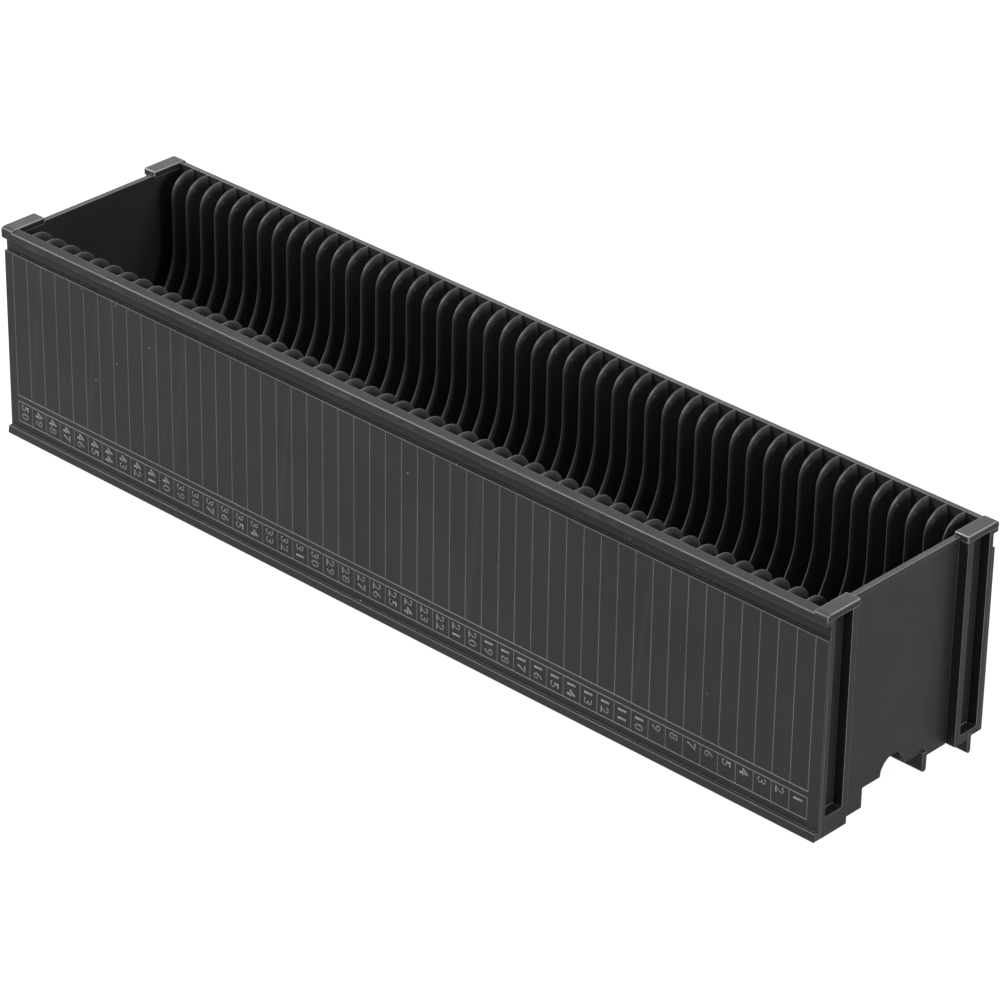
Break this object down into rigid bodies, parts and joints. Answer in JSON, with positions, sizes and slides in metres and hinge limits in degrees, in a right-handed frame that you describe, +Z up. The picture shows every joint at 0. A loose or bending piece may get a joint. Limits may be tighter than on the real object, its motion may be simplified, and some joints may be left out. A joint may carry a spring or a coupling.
{
  "type": "straight slide magazine",
  "caption": "Straight black plastic magazine for framed 50 mm slides: open top, U-shaped dividers, recessed end walls with guide grooves, rails below.",
  "frame": {"origin": "middle of the footprint, on the surface that the rails stand on", "axes": "+X along the tray towards the end with number 1, +Y across the tray away from the numbered label side, +Z up"},
  "size_m": [0.2564, 0.0573, 0.0564],
  "materials": {
    "shell_plastic": "moulded black polystyrene, fine matte texture, satin on the edges",
    "divider_plastic": "moulded black polystyrene, smooth and slightly glossy on the rounded edges",
    "underside_plastic": "moulded black polystyrene, plain"
  },
  "bodies": {
    "root": {"front_wall": "shell_plastic", "rear_wall": "shell_plastic", "left_end_wall": "shell_plastic", "right_end_wall": "shell_plastic", "front_floor_ledge": "underside_plastic", "rear_floor_ledge": "underside_plastic", "front_rail": "underside_plastic", "middle_rail": "underside_plastic", "rear_rail": "underside_plastic", "divider_01": "divider_plastic", "divider_02": "divider_plastic", "divider_03": "divider_plastic", "divider_04": "divider_plastic", "divider_05": "divider_plastic", "divider_06": "divider_plastic", "divider_07": "divider_plastic", "divider_08": "divider_plastic", "divider_09": "divider_plastic", "divider_10": "divider_plastic", "divider_11": "divider_plastic", "divider_12": "divider_plastic", "divider_13": "divider_plastic", "divider_14": "divider_plastic", "divider_15": "divider_plastic", "divider_16": "divider_plastic", "divider_17": "divider_plastic", "divider_18": "divider_plastic", "divider_19": "divider_plastic", "divider_20": "divider_plastic", "divider_21": "divider_plastic", "divider_22": "divider_plastic", "divider_23": "divider_plastic", "divider_24": "divider_plastic", "divider_25": "divider_plastic", "divider_26": "divider_plastic", "divider_27": "divider_plastic", "divider_28": "divider_plastic", "divider_29": "divider_plastic", "divider_30": "divider_plastic", "divider_31": "divider_plastic", "divider_32": "divider_plastic", "divider_33": "divider_plastic", "divider_34": "divider_plastic", "divider_35": "divider_plastic", "divider_36": "divider_plastic", "divider_37": "divider_plastic", "divider_38": "divider_plastic", "divider_39": "divider_plastic", "divider_40": "divider_plastic", "divider_41": "divider_plastic", "divider_42": "divider_plastic", "divider_43": "divider_plastic", "divider_44": "divider_plastic", "divider_45": "divider_plastic", "divider_46": "divider_plastic", "divider_47": "divider_plastic", "divider_48": "divider_plastic", "divider_49": "divider_plastic"}
  },
  "joints": []
}
